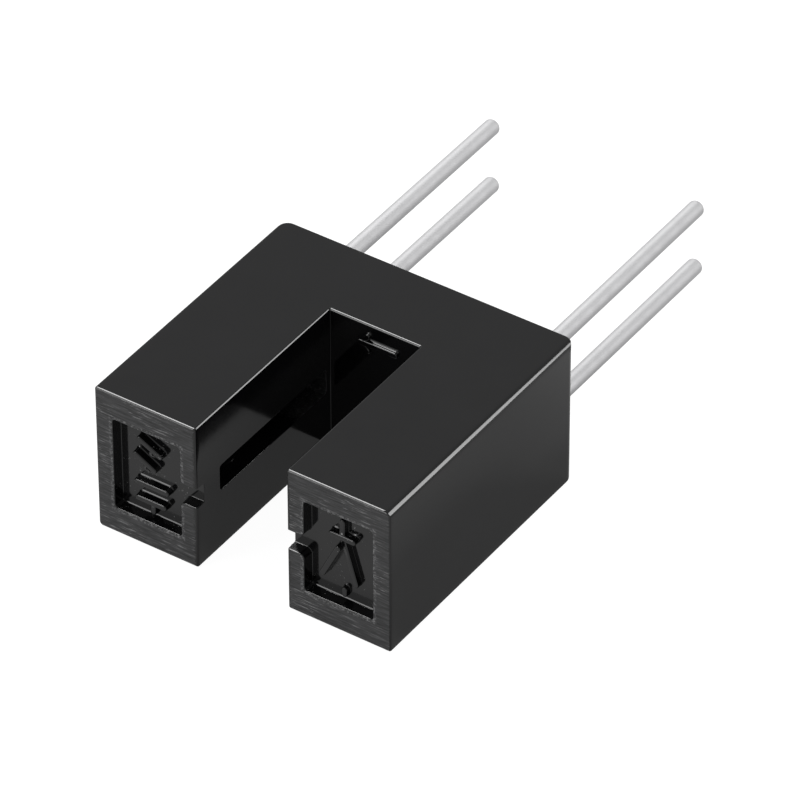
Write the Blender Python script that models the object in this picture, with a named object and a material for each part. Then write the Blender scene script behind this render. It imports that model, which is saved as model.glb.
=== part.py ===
"""Slotted optical switch: a moulded U housing with an emitter in one arm and a detector in the other.

The housing lies on its broad face. X runs along the light beam, across the slot. Y runs from
the arm ends towards the lead tips. Z is up, and the origin lies under the middle of the part.
Sizes are in millimetres here, and every mesh is written in metres.
"""
import math

import bmesh
import bpy
from mathutils import Vector

MM = 0.001

# Housing
BODY_WIDTH = 11.9
BODY_LENGTH = 11.1
BODY_THICKNESS = 5.95
SLOT_WIDTH = 3.67
SLOT_DEPTH = 7.85
BACK_CORNER_RADIUS = 0.4
SLOT_ROOT_RADIUS = 0.03
EDGE_BREAK = 0.08
MARKED_EDGE_RADIUS = 0.22

# Sunk panel in each arm end, and the notch through its slot-side rim
PANEL_DEPTH = 0.44
PANEL_SLOT_RIM = 0.69
PANEL_OUTER_RIM = 0.73
PANEL_BROAD_RIM = 1.1
PANEL_CORNER_RADIUS = 0.1
PANEL_LIP_RADIUS = 0.05
PANEL_FLOOR_RADIUS = 0.03
PANEL_DRAFT = 3.0
NOTCH_HEIGHT = 0.76
NOTCH_CORNER_RADIUS = 0.2

# Pocket in each arm, open at the lead side
APERTURE_WALL = 0.8
OUTER_WALL = 0.5
BROAD_WALL = 0.62
END_WALL = 0.86
POCKET_CORNER_RADIUS = 0.25
MOUTH_CHAMFER = 0.08

# Aperture slit through each slot-side wall
SLIT_HEIGHT = 1.05
SLIT_LENGTH = 6.25
SLIT_FROM_POCKET_END = 0.05
SLIT_CORNER_RADIUS = 0.12
SLIT_LIP_RADIUS = 0.02

# Side-looking package
FIT = 0.05
PACKAGE_LENGTH = 5.7
PACKAGE_CORNER_RADIUS = 0.3
PACKAGE_DRAFT = 0.12
LENS_RADIUS = 0.95
LENS_HEIGHT = 0.42
BEAM_FROM_PACKAGE_TOP = 1.95

# Leads
LEAD_DIAMETER = 0.62
LEAD_PITCH = 2.54
LEAD_LENGTH = 10.45
LEAD_TIP_ROUND = 0.16
HEAD_THICKNESS = 0.35
HEAD_GAP = 0.3
PAD_LENGTH = 1.5
POST_LENGTH = 0.9
POST_WIDTH = 0.53
NECK_LENGTH = 0.9

# Chips and bond wires
EMITTER_CHIP = (0.32, 0.18)
DETECTOR_CHIP = (0.75, 0.25)
WIRE_DIAMETER = 0.04
BALL_DIAMETER = 0.09
WIRE_RISE_SHARE = 0.4
MOULD_GAP = 0.02

# Poured seal at the lead side of each pocket
SEAL_THICKNESS = 1.4
SEAL_RECESS = 0.1
SEAL_DISH = 0.12

# Facets
CORNER_STEPS = 6
ROUND_STEPS = 3
LEAD_SIDES = 20
NECK_STEPS = 5
LENS_SIDES = 32
LENS_STEPS = 7
WIRE_SIDES = 8
WIRE_STEPS = 14
OVERSHOOT = 0.5

# Places that follow from the sizes. Distances out from the slot's middle plane are "out",
# distances from the arm ends are "along", heights from the part's middle plane are "up".
OVERALL_LENGTH = BODY_LENGTH + LEAD_LENGTH
ARM_END_Y = -OVERALL_LENGTH / 2
MIDDLE_Z = BODY_THICKNESS / 2
SLOT_FACE_OUT = SLOT_WIDTH / 2
SIDE_OUT = BODY_WIDTH / 2
POCKET_NEAR_OUT = SLOT_FACE_OUT + APERTURE_WALL
POCKET_FAR_OUT = SIDE_OUT - OUTER_WALL
POCKET_HALF_UP = MIDDLE_Z - BROAD_WALL
POCKET_END_ALONG = PANEL_DEPTH + END_WALL
PACKAGE_FRONT_OUT = POCKET_NEAR_OUT + FIT + LENS_HEIGHT
PACKAGE_BACK_OUT = POCKET_FAR_OUT - FIT
PACKAGE_HALF_UP = POCKET_HALF_UP - FIT
PACKAGE_TOP_ALONG = POCKET_END_ALONG + FIT
PACKAGE_BASE_ALONG = PACKAGE_TOP_ALONG + PACKAGE_LENGTH
BEAM_ALONG = PACKAGE_TOP_ALONG + BEAM_FROM_PACKAGE_TOP
LEAD_OUT = (PACKAGE_FRONT_OUT + PACKAGE_BACK_OUT) / 2
LEAD_UP = LEAD_PITCH / 2
LEAD_RADIUS = LEAD_DIAMETER / 2
HEAD_FACE_OUT = LEAD_OUT - HEAD_THICKNESS / 2
POST_INNER_UP = -LEAD_UP + POST_WIDTH / 2
SEAL_BACK_ALONG = BODY_LENGTH - SEAL_RECESS


def arc(centre_u, centre_v, radius, start, end, steps):
    """Points on an arc about a centre, from one angle in degrees to another, ends included."""
    angles = [math.radians(start + (end - start) * k / steps) for k in range(steps + 1)]
    return [(centre_u + radius * math.cos(a), centre_v + radius * math.sin(a)) for a in angles]


def rounded_rectangle(low_u, high_u, low_v, high_v, radius):
    """A rectangle's outline with its four corners as arcs, starting at the high corner."""
    return (
        arc(high_u - radius, high_v - radius, radius, 0, 90, CORNER_STEPS)
        + arc(low_u + radius, high_v - radius, radius, 90, 180, CORNER_STEPS)
        + arc(low_u + radius, low_v + radius, radius, 180, 270, CORNER_STEPS)
        + arc(high_u - radius, low_v + radius, radius, 270, 360, CORNER_STEPS)
    )


def grow_outline(outline, distance):
    """An outline moved outwards by a distance, or inwards by a negative one, with mitred corners."""
    points = [Vector(point) for point in outline]
    moved = []
    for k, point in enumerate(points):
        before = (point - points[k - 1]).normalized()
        after = (points[(k + 1) % len(points)] - point).normalized()
        normals = Vector((before.y + after.y, -before.x - after.x))
        moved.append(tuple(point + normals * (distance / (1 + before.dot(after)))))
    return moved


def lip_sizes(radius):
    """A rounded edge in steps: how far out it stands and how far down it is, from face to wall."""
    angles = [math.pi / 2 * k / ROUND_STEPS for k in range(ROUND_STEPS + 1)]
    return [(radius - radius * math.sin(a), radius - radius * math.cos(a)) for a in angles]


def floor_sizes(radius):
    """How far a rounded floor draws in and how deep it is, from the wall down to the floor."""
    angles = [math.pi / 2 * k / ROUND_STEPS for k in range(ROUND_STEPS + 1)]
    return [(radius * math.cos(a) - radius, radius * math.sin(a) - radius) for a in angles]


def ring_at_x(outline, x):
    """An outline in Y and Z, at one place along X."""
    return [(x, u, v) for u, v in outline]


def ring_at_y(outline, y):
    """An outline in X and Z, at one place along Y."""
    return [(u, y, v) for u, v in outline]


def ring_at_z(outline, z):
    """An outline in X and Y, at one height."""
    return [(u, v, z) for u, v in outline]


def loft(rings):
    """One closed solid through rings of equally many points, with a flat face at each end."""
    solid = bmesh.new()
    rows = [[solid.verts.new(point) for point in ring] for ring in rings]
    for near, far in zip(rows, rows[1:]):
        for k in range(len(near)):
            solid.faces.new((near[k - 1], near[k], far[k], far[k - 1]))
    solid.faces.new(rows[0])
    solid.faces.new(rows[-1])
    bmesh.ops.recalc_face_normals(solid, faces=solid.faces)
    return solid


def box(low, high):
    """A plain box between two corners."""
    outline = [(low[0], low[1]), (high[0], low[1]), (high[0], high[1]), (low[0], high[1])]
    return loft([ring_at_z(outline, low[2]), ring_at_z(outline, high[2])])


def make_mesh(name, solid):
    """A mesh in metres from a solid in millimetres, round stretches smooth and edges sharp."""
    bmesh.ops.scale(solid, vec=(MM, MM, MM), verts=solid.verts)
    mesh = bpy.data.meshes.new(name)
    solid.to_mesh(mesh)
    solid.free()
    mesh.shade_smooth()
    mesh.set_sharp_from_angle(angle=math.radians(35))
    return mesh


def place(name, mesh, parent):
    """An object that stands in its parent's frame."""
    thing = bpy.data.objects.new(name, mesh)
    bpy.context.scene.collection.objects.link(thing)
    thing.parent = parent
    return thing


def piece(name, solid, material, parent):
    """A piece of the product, with its own material."""
    thing = place(name, make_mesh(name, solid), parent)
    thing.data.materials.append(material)
    return thing


def cutter(name, mesh, parent):
    """A shape that only cuts or joins other shapes."""
    thing = place(name, mesh, parent)
    thing.hide_render = True
    thing.display_type = "WIRE"
    return thing


def combine(thing, tool, operation):
    """Cuts a tool from a piece, or joins it on, by an exact Boolean."""
    step = thing.modifiers.new(tool.name, "BOOLEAN")
    step.operation = operation
    step.solver = "EXACT"
    step.object = tool


def frame_empty(name, location, turn=0.0):
    """An empty that carries one side's pieces; turn is about Y, in degrees."""
    empty = bpy.data.objects.new(name, None)
    bpy.context.scene.collection.objects.link(empty)
    empty.location = Vector(location) * MM
    empty.rotation_euler = (0, math.radians(turn), 0)
    return empty


def finish(name, colour, roughness, metallic=0.0, transmission=0.0, ior=1.5):
    """A material with one Principled BSDF; the colour is linear."""
    material = bpy.data.materials.new(name)
    material.use_nodes = True
    shader = material.node_tree.nodes["Principled BSDF"]
    shader.inputs["Base Color"].default_value = (*colour, 1.0)
    shader.inputs["Roughness"].default_value = roughness
    shader.inputs["Metallic"].default_value = metallic
    shader.inputs["Transmission Weight"].default_value = transmission
    shader.inputs["IOR"].default_value = ior
    return material


def housing_outline():
    """The U seen from above: arm ends at zero along, the slot's root and back corners rounded."""
    left_end = [(-SIDE_OUT, 0.0), (-SLOT_FACE_OUT, 0.0)]
    root = SLOT_DEPTH - SLOT_ROOT_RADIUS
    slot_left = arc(-SLOT_FACE_OUT + SLOT_ROOT_RADIUS, root, SLOT_ROOT_RADIUS, 180, 90, CORNER_STEPS)
    slot_right = arc(SLOT_FACE_OUT - SLOT_ROOT_RADIUS, root, SLOT_ROOT_RADIUS, 90, 0, CORNER_STEPS)
    right_end = [(SLOT_FACE_OUT, 0.0), (SIDE_OUT, 0.0)]
    back = BODY_LENGTH - BACK_CORNER_RADIUS
    corner = SIDE_OUT - BACK_CORNER_RADIUS
    back_right = arc(corner, back, BACK_CORNER_RADIUS, 0, 90, CORNER_STEPS)
    back_left = arc(-corner, back, BACK_CORNER_RADIUS, 90, 180, CORNER_STEPS)
    return left_end + slot_left + slot_right + right_end + back_right + back_left


def housing_block():
    """The U at full thickness, with the edges of its broad faces and arm ends broken."""
    outline = housing_outline()
    solid = loft([ring_at_z(outline, 0.0), ring_at_z(outline, BODY_THICKNESS)])
    edges = []
    for edge in solid.edges:
        first, second = (vert.co for vert in edge.verts)
        upright = abs(first.z - second.z) > OVERSHOOT
        at_arm_end = first.y == 0.0 and second.y == 0.0
        if not upright or at_arm_end:
            edges.append(edge)
    bmesh.ops.bevel(
        solid, geom=edges, offset=EDGE_BREAK, offset_type="OFFSET", segments=ROUND_STEPS, profile=0.5,
        affect="EDGES", clamp_overlap=False,
    )
    bmesh.ops.recalc_face_normals(solid, faces=solid.faces)
    return solid


def marked_edge_cutter():
    """What the larger radius takes off one long edge: the upper of the emitter arm, the lower of the other."""
    radius = MARKED_EDGE_RADIUS
    curve = arc(SIDE_OUT - radius, MIDDLE_Z - radius, radius, 0, 90, CORNER_STEPS)
    beyond = (SIDE_OUT + OVERSHOOT, MIDDLE_Z + OVERSHOOT)
    outline = curve + [(SIDE_OUT - radius, beyond[1]), beyond, (beyond[0], MIDDLE_Z - radius)]
    return loft([ring_at_y(outline, -OVERSHOOT), ring_at_y(outline, BODY_LENGTH + OVERSHOOT)])


def panel_cutter():
    """The sunk panel of one arm end, with the notch that runs on to the slot, drafted to open outwards."""
    near = SLOT_FACE_OUT + PANEL_SLOT_RIM
    far = SIDE_OUT - PANEL_OUTER_RIM
    half = MIDDLE_Z - PANEL_BROAD_RIM
    radius = PANEL_CORNER_RADIUS
    notch = NOTCH_HEIGHT / 2
    turn = NOTCH_CORNER_RADIUS
    outline = (
        arc(far - radius, half - radius, radius, 0, 90, CORNER_STEPS)
        + arc(near + radius, half - radius, radius, 90, 180, CORNER_STEPS)
        + arc(near - turn, notch + turn, turn, 0, -90, CORNER_STEPS)
        + [(SLOT_FACE_OUT - OVERSHOOT, notch), (SLOT_FACE_OUT - OVERSHOOT, -notch)]
        + arc(near - turn, -notch - turn, turn, 90, 0, CORNER_STEPS)
        + arc(near + radius, -half + radius, radius, 180, 270, CORNER_STEPS)
        + arc(far - radius, -half + radius, radius, 270, 360, CORNER_STEPS)
    )
    flare = PANEL_DEPTH * math.tan(math.radians(PANEL_DRAFT))
    rings = [ring_at_y(grow_outline(outline, flare + PANEL_LIP_RADIUS), -OVERSHOOT)]
    for out, depth in lip_sizes(PANEL_LIP_RADIUS):
        rings.append(ring_at_y(grow_outline(outline, flare + out), depth))
    for out, depth in floor_sizes(PANEL_FLOOR_RADIUS):
        rings.append(ring_at_y(grow_outline(outline, out), PANEL_DEPTH + depth))
    return loft(rings)


def pocket_outline(shrink):
    """The pocket's section in X and Z, smaller all round by a clearance."""
    return rounded_rectangle(
        POCKET_NEAR_OUT + shrink, POCKET_FAR_OUT - shrink,
        -POCKET_HALF_UP + shrink, POCKET_HALF_UP - shrink, POCKET_CORNER_RADIUS - shrink,
    )


def pocket_cutter():
    """The pocket of one arm, from its end wall to the lead side, with a chamfered mouth."""
    section = pocket_outline(0.0)
    mouth = pocket_outline(-MOUTH_CHAMFER)
    return loft([
        ring_at_y(section, POCKET_END_ALONG),
        ring_at_y(section, BODY_LENGTH - MOUTH_CHAMFER),
        ring_at_y(mouth, BODY_LENGTH),
        ring_at_y(mouth, BODY_LENGTH + OVERSHOOT),
    ])


def slit_cutter():
    """The aperture slit, from its rounded lip at the slot into the pocket."""
    start = POCKET_END_ALONG + SLIT_FROM_POCKET_END
    half = SLIT_HEIGHT / 2
    outline = rounded_rectangle(start, start + SLIT_LENGTH, -half, half, SLIT_CORNER_RADIUS)
    rings = [ring_at_x(grow_outline(outline, SLIT_LIP_RADIUS), SLOT_FACE_OUT - OVERSHOOT)]
    for out, depth in lip_sizes(SLIT_LIP_RADIUS):
        rings.append(ring_at_x(grow_outline(outline, out), SLOT_FACE_OUT + depth))
    rings.append(ring_at_x(outline, POCKET_NEAR_OUT + OVERSHOOT))
    return loft(rings)


def package_block():
    """The package's moulded body: widest at the lead plane, drafted to its front and back."""
    def section(inset):
        return rounded_rectangle(
            PACKAGE_TOP_ALONG + inset, PACKAGE_BASE_ALONG - inset,
            -PACKAGE_HALF_UP + inset, PACKAGE_HALF_UP - inset, PACKAGE_CORNER_RADIUS,
        )
    return loft([
        ring_at_x(section(PACKAGE_DRAFT), PACKAGE_FRONT_OUT),
        ring_at_x(section(0.0), LEAD_OUT),
        ring_at_x(section(PACKAGE_DRAFT), PACKAGE_BACK_OUT),
    ])


def lens_form():
    """The lens: a ball's cap that stands on the package's front face, with a sunk root."""
    ball = (LENS_RADIUS ** 2 + LENS_HEIGHT ** 2) / (2 * LENS_HEIGHT)
    spread = math.asin(LENS_RADIUS / ball)
    centre_out = PACKAGE_FRONT_OUT - LENS_HEIGHT + ball
    root = (PACKAGE_BACK_OUT - PACKAGE_FRONT_OUT) / 8

    def section(radius, out):
        return ring_at_x(arc(BEAM_ALONG, 0.0, radius, 0, 360, LENS_SIDES)[:-1], out)

    rings = [section(LENS_RADIUS, PACKAGE_FRONT_OUT + root)]
    for k in range(LENS_STEPS):
        angle = spread * (1 - k / LENS_STEPS)
        rings.append(section(ball * math.sin(angle), centre_out - ball * math.cos(angle)))
    return loft(rings)


def lead_section(along, centre_up, half_width, half_thickness, squareness):
    """A superellipse across a lead: round wire at a squareness of 2, flat stock above that."""
    points = []
    for k in range(LEAD_SIDES):
        angle = 2 * math.pi * (k + 0.5) / LEAD_SIDES
        across, upwards = math.cos(angle), math.sin(angle)
        out = math.copysign(abs(across) ** (2 / squareness), across) * half_thickness
        up = math.copysign(abs(upwards) ** (2 / squareness), upwards) * half_width
        points.append((LEAD_OUT + out, along, centre_up + up))
    return points


def lead(wire_up, head_low_up, head_high_up, head_length, grow=0.0):
    """A round wire whose inner end is coined flat, larger all round by grow for its mould pocket."""
    head_centre = (head_low_up + head_high_up) / 2
    head_half = (head_high_up - head_low_up) / 2
    head_end = BEAM_ALONG + head_length / 2
    flat, round_wire = 8.0, 2.0
    rings = [
        lead_section(
            BEAM_ALONG - head_length / 2 - grow, head_centre, head_half + grow,
            HEAD_THICKNESS / 2 + grow, flat,
        )
    ]
    for k in range(NECK_STEPS + 1):
        share = k / NECK_STEPS
        blend = share * share * (3 - 2 * share)
        rings.append(lead_section(
            head_end + NECK_LENGTH * share,
            head_centre + (wire_up - head_centre) * blend,
            head_half + (LEAD_RADIUS - head_half) * blend + grow,
            HEAD_THICKNESS / 2 + (LEAD_RADIUS - HEAD_THICKNESS / 2) * blend + grow,
            flat + (round_wire - flat) * math.sqrt(share),
        ))
    tip = OVERALL_LENGTH + grow
    for back, inset in lip_sizes(LEAD_TIP_ROUND):
        radius = LEAD_RADIUS - inset + grow
        rings.append(lead_section(tip - back, wire_up, radius, radius, round_wire))
    return loft(rings)


def pad_lead(grow=0.0):
    """The lead whose head is the chip's pad."""
    return lead(LEAD_UP, POST_INNER_UP + HEAD_GAP, LEAD_UP + LEAD_RADIUS, PAD_LENGTH, grow)


def post_lead(grow=0.0):
    """The lead whose head is the bond wire's post."""
    return lead(-LEAD_UP, -LEAD_UP - POST_WIDTH / 2, POST_INNER_UP, POST_LENGTH, grow)


def chip(size, height, grow=0.0):
    """A square chip that lies on the pad, on the beam's axis."""
    base = HEAD_FACE_OUT - MOULD_GAP + grow
    top = HEAD_FACE_OUT - MOULD_GAP - height - grow
    half = size / 2 + grow
    return box((top, BEAM_ALONG - half, -half), (base, BEAM_ALONG + half, half))


def bond_wire(height, grow=0.0):
    """A wire that leaves the chip and meets the post square on, arched towards the lens."""
    chip_top = HEAD_FACE_OUT - MOULD_GAP - height
    rise = (chip_top - PACKAGE_FRONT_OUT) * WIRE_RISE_SHARE
    start = Vector((chip_top - MOULD_GAP, BEAM_ALONG, 0.0))
    end = Vector((HEAD_FACE_OUT - MOULD_GAP, BEAM_ALONG, -LEAD_UP))
    path = []
    for k in range(WIRE_STEPS + 1):
        angle = math.pi * k / WIRE_STEPS
        point = start.lerp(end, (1 - math.cos(angle)) / 2)
        point.x -= rise * math.sin(angle)
        path.append(point)
    if grow:
        path.insert(0, start + Vector((2 * grow, 0, 0)))
        path.append(end + Vector((2 * grow, 0, 0)))
    across = Vector((0, 1, 0))
    rings = []
    for k, point in enumerate(path):
        inner = 0 < k < len(path) - 1
        tangent = path[k + 1] - path[k - 1] if inner else Vector((1, 0, 0))
        if k == 0:
            tangent = -tangent
        side = tangent.normalized().cross(across)
        ball = k <= (1 if grow else 0)
        radius = (BALL_DIAMETER if ball else WIRE_DIAMETER) / 2 + grow
        circle = arc(0.0, 0.0, radius, 0, 360, WIRE_SIDES)[:-1]
        rings.append([point + across * u + side * v for u, v in circle])
    return loft(rings)


def seal():
    """The poured plug: it follows the pocket's walls, and its outer face sags to the middle."""
    section = pocket_outline(FIT)
    centre = (POCKET_NEAR_OUT + POCKET_FAR_OUT) / 2
    rings = [ring_at_y(section, SEAL_BACK_ALONG - SEAL_THICKNESS)]
    for share in (1.0, 0.75, 0.5, 0.25):
        smaller = [(centre + (u - centre) * share, v * share) for u, v in section]
        rings.append(ring_at_y(smaller, SEAL_BACK_ALONG - SEAL_DISH * (1 - share ** 2)))
    return loft(rings)


def build_housing(sides):
    """The moulded housing, with one set of cutters for each side."""
    base = frame_empty("housing_frame", (0, ARM_END_Y, 0))
    black = finish("black_moulded_plastic", (0.011, 0.011, 0.012), 0.16)
    housing = piece("housing", housing_block(), black, base)
    shapes = {
        "marked_edge": make_mesh("marked_edge_cutter", marked_edge_cutter()),
        "pocket": make_mesh("pocket_cutter", pocket_cutter()),
        "panel": make_mesh("panel_cutter", panel_cutter()),
        "slit": make_mesh("slit_cutter", slit_cutter()),
    }
    for side_name, side in sides.items():
        for shape_name, mesh in shapes.items():
            tool = cutter(f"{side_name}_{shape_name}_cutter", mesh, side)
            combine(housing, tool, "DIFFERENCE")


def build_side(side_name, side, pad_name, post_name, chip_size, epoxy):
    """Package, leads, chip, wire and seal of one arm, in that arm's own frame."""
    tin = finish(f"{side_name}_tinned_wire", (0.62, 0.62, 0.61), 0.3, metallic=1.0)
    gold = finish(f"{side_name}_gold_wire", (0.9, 0.62, 0.2), 0.2, metallic=1.0)
    die = finish(f"{side_name}_chip_surface", (0.12, 0.11, 0.14), 0.2, metallic=0.4)
    pour = finish(f"{side_name}_black_epoxy", (0.012, 0.012, 0.012), 0.45)
    size, height = chip_size

    package = piece(f"{side_name}_package", package_block(), epoxy, side)
    lens = cutter(f"{side_name}_lens_form", make_mesh("lens_form", lens_form()), side)
    combine(package, lens, "UNION")
    piece(pad_name, pad_lead(), tin, side)
    piece(post_name, post_lead(), tin, side)
    piece(f"{side_name}_chip", chip(size, height), die, side)
    piece(f"{side_name}_bond_wire", bond_wire(height), gold, side)
    plug = piece(f"{side_name}_seal", seal(), pour, side)

    spaces = {
        "pad_lead": pad_lead(MOULD_GAP),
        "post_lead": post_lead(MOULD_GAP),
        "chip": chip(size, height, MOULD_GAP),
        "bond_wire": bond_wire(height, MOULD_GAP),
    }
    for space_name, solid in spaces.items():
        name = f"{side_name}_{space_name}_space"
        tool = cutter(name, make_mesh(name, solid), side)
        combine(package, tool, "DIFFERENCE")
        if space_name.endswith("lead"):
            combine(plug, tool, "DIFFERENCE")


def main():
    for thing in list(bpy.data.objects):
        bpy.data.objects.remove(thing)
    beam = (0, ARM_END_Y, MIDDLE_Z)
    sides = {
        "emitter": frame_empty("emitter_side", beam),
        "detector": frame_empty("detector_side", beam, turn=180),
    }
    build_housing(sides)
    clear_epoxy = finish("clear_epoxy", (0.75, 0.8, 0.85), 0.05, transmission=0.9, ior=1.54)
    dark_epoxy = finish("daylight_filter_epoxy", (0.012, 0.01, 0.012), 0.08, ior=1.54)
    build_side(
        "emitter", sides["emitter"], "emitter_cathode_lead", "emitter_anode_lead",
        EMITTER_CHIP, clear_epoxy,
    )
    build_side(
        "detector", sides["detector"], "detector_collector_lead", "detector_emitter_lead",
        DETECTOR_CHIP, dark_epoxy,
    )


main()
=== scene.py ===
"""Looks of a slotted optical switch: a glossy black moulded U with ground arm ends on four tinned leads.

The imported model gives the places. Lengths are in millimetres while a piece is made, and its mesh is then
written in metres, in its place. On each side "out" runs from the slot's middle to the arm, "along" runs
from the arm end to the lead tips, and "up" is measured from the middle of the part's thickness.
"""

import math

import bmesh
import bpy
import numpy as np
from mathutils import Matrix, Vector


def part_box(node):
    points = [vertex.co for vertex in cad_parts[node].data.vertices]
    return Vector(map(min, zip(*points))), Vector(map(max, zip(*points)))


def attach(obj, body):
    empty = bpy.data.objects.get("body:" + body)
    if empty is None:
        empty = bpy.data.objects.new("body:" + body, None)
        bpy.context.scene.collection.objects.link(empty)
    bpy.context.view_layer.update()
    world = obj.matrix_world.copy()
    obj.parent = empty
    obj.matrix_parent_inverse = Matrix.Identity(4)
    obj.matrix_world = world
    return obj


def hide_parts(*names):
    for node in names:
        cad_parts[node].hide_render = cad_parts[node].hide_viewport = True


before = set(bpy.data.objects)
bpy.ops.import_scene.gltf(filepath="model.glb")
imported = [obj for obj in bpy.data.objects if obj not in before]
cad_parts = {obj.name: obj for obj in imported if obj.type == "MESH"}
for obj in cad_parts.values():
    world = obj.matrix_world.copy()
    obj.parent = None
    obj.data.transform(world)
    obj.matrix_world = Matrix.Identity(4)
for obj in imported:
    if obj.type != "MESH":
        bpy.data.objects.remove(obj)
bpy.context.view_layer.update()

MM = 1000.0


def box_mm(node):
    """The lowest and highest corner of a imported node, in millimetres."""
    return tuple(np.array(corner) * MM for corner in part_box(node))


HOUSING_LOW, HOUSING_HIGH = box_mm("housing")
PACKAGE_LOW, PACKAGE_HIGH = box_mm("emitter_package")
SEAL_LOW, SEAL_HIGH = box_mm("emitter_seal")
WIRE_LOW, WIRE_HIGH = box_mm("emitter_anode_lead")

ARM_END_Y = HOUSING_LOW[1]
MIDDLE_Z = (HOUSING_LOW[2] + HOUSING_HIGH[2]) / 2

# Housing
SLOT_HALF = 1.835
SLOT_DEPTH = 7.85
PANEL_DEPTH = 0.44
PANEL_DRAFT = 3.0
LOWER_WALL_UP = 1.1
MOUTH_NEAR_OUT = 2.45
MOUTH_FAR_OUT = 5.29
MOUTH_HALF_UP = 1.95
STROKE_WIDTH = 0.22
STROKE_DRAFT = 3.5
STROKE_LIP = 0.045
STROKE_FILLET = 0.02
STROKE_STEP_IN = 0.03
UPPER_FILLET = 0.09
LOWER_FILLET = 0.08
STROKE_ROOT = 0.1
STROKE_SUNK = 0.004
FILLET_ROOT = 0.1
FILLET_SUNK = 0.003
SMALL_EDGE = 0.03
WELD = 0.001
FLAT_ANGLE = 0.5
SHARP_ANGLE = 50
SMOOTH_ANGLE = 40
# Extra edges across X, Y and Z close to the corners, so that the smooth shading turns only there
SHADING_CUTS = (
    (-5.61, -2.03, 2.03, 5.61),
    (ARM_END_Y + 0.23,),
    (HOUSING_LOW[2] + 0.37, HOUSING_HIGH[2] - 0.37),
)

# Rough end of each slit, with painted glints, in the slot's walls
SLIT_WALL_OUT = 2.25
SLIT_WALL_REACH = 0.41
SLIT_HALF_UP = 0.545
WORN_FROM = 5.6
WORN_FULLY = 6.2

# Packages and what they hold
LENS_RADIUS = 0.95
LENS_HEIGHT = 0.42
PACKAGE_DRAFT = 0.12
PACKAGE_CORNER = 0.3
PACKAGE_EDGE = 0.08
BEAM_FROM_TOP = 1.95
HEAD_THICKNESS = 0.35
HEAD_EDGE = 0.04
HEAD_GAP = 0.3
PAD_LENGTH = 1.5
POST_LENGTH = 0.9
POST_WIDTH = 0.53
NECK_LENGTH = 0.9
LEAD_PITCH = 2.54
TIP_ROUND = 0.16
BOND_WIRE_RADIUS = 0.015
BALL_RADIUS = 0.042
# Side and height
EMITTER_CHIP = (0.32, 0.18)
DETECTOR_CHIP = (0.75, 0.25)
CONTACT_SHARE = 0.16
WIRE_RISE_SHARE = 0.4
MOULD_GAP = 0.02

# Poured seal
SEAL_THICKNESS = 1.4
SEAL_CORNER = 0.2
SEAL_SAG = 0.12
WALL_CLIMB = 0.08
LEAD_CLIMB = 0.1
CLIMB_REACH = 0.11

LEAD_RADIUS = (WIRE_HIGH[2] - WIRE_LOW[2]) / 2
LEAD_OUT = (WIRE_LOW[0] + WIRE_HIGH[0]) / 2
LEAD_UP = LEAD_PITCH / 2
TIP_ALONG = WIRE_HIGH[1] - ARM_END_Y
PACKAGE_TOP = PACKAGE_LOW[1] - ARM_END_Y
PACKAGE_BASE = PACKAGE_HIGH[1] - ARM_END_Y
BEAM_ALONG = PACKAGE_TOP + BEAM_FROM_TOP
FRONT_OUT = PACKAGE_LOW[0] + LENS_HEIGHT


def linear(hex_colour):
    """A colour written as sRGB hex, turned linear."""
    channels = [int(hex_colour[k:k + 2], 16) / 255 for k in (1, 3, 5)]
    return (*[c / 12.92 if c <= 0.04045 else ((c + 0.055) / 1.055) ** 2.4 for c in channels], 1.0)


def add(tree, kind, settings=None, inputs=None):
    """Adds one node with its settings; each input is a plain value or another node's output."""
    made = tree.nodes.new(kind)
    for name, value in (settings or {}).items():
        setattr(made, name, value)
    for name, value in (inputs or {}).items():
        if isinstance(value, bpy.types.NodeSocket):
            tree.links.new(value, made.inputs[name])
        else:
            made.inputs[name].default_value = value
    return made


def start_material(name):
    """An empty material: its node tree, its shader and the object's own coordinates in millimetres."""
    material = bpy.data.materials.new(name)
    material.use_nodes = True
    tree = material.node_tree
    tree.nodes.clear()
    shader = add(tree, "ShaderNodeBsdfPrincipled")
    add(tree, "ShaderNodeOutputMaterial", None, {"Surface": shader.outputs[0]})
    place = add(tree, "ShaderNodeTexCoord")
    place_mm = add(tree, "ShaderNodeVectorMath", {"operation": "SCALE"}, {
        0: place.outputs["Object"], "Scale": MM})
    return material, tree, shader, place_mm.outputs[0]


# Places on one side, and closed surfaces

def on_side(points, side):
    """Turns (out, along, up) into (x, y, z). The detector side, -1, is the emitter side turned about Y."""
    out, along, up = points[..., 0], points[..., 1], points[..., 2]
    return np.stack([side * out, ARM_END_Y + along, MIDDLE_Z + side * up], -1)


def rounded_outline(low_u, high_u, low_v, high_v, radius, corner_steps=8):
    """A rectangle with quarter-circle corners: each corner's centre plus the radius at a turning angle."""
    quarter = np.linspace(0, math.pi / 2, corner_steps + 1)
    angles = np.concatenate([quarter + k * math.pi / 2 for k in range(4)])
    centre_u = np.repeat([high_u - radius, low_u + radius, low_u + radius, high_u - radius],
        corner_steps + 1)
    centre_v = np.repeat([high_v - radius, high_v - radius, low_v + radius, low_v + radius],
        corner_steps + 1)
    return np.stack([centre_u + radius * np.cos(angles), centre_v + radius * np.sin(angles)], -1)


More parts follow.
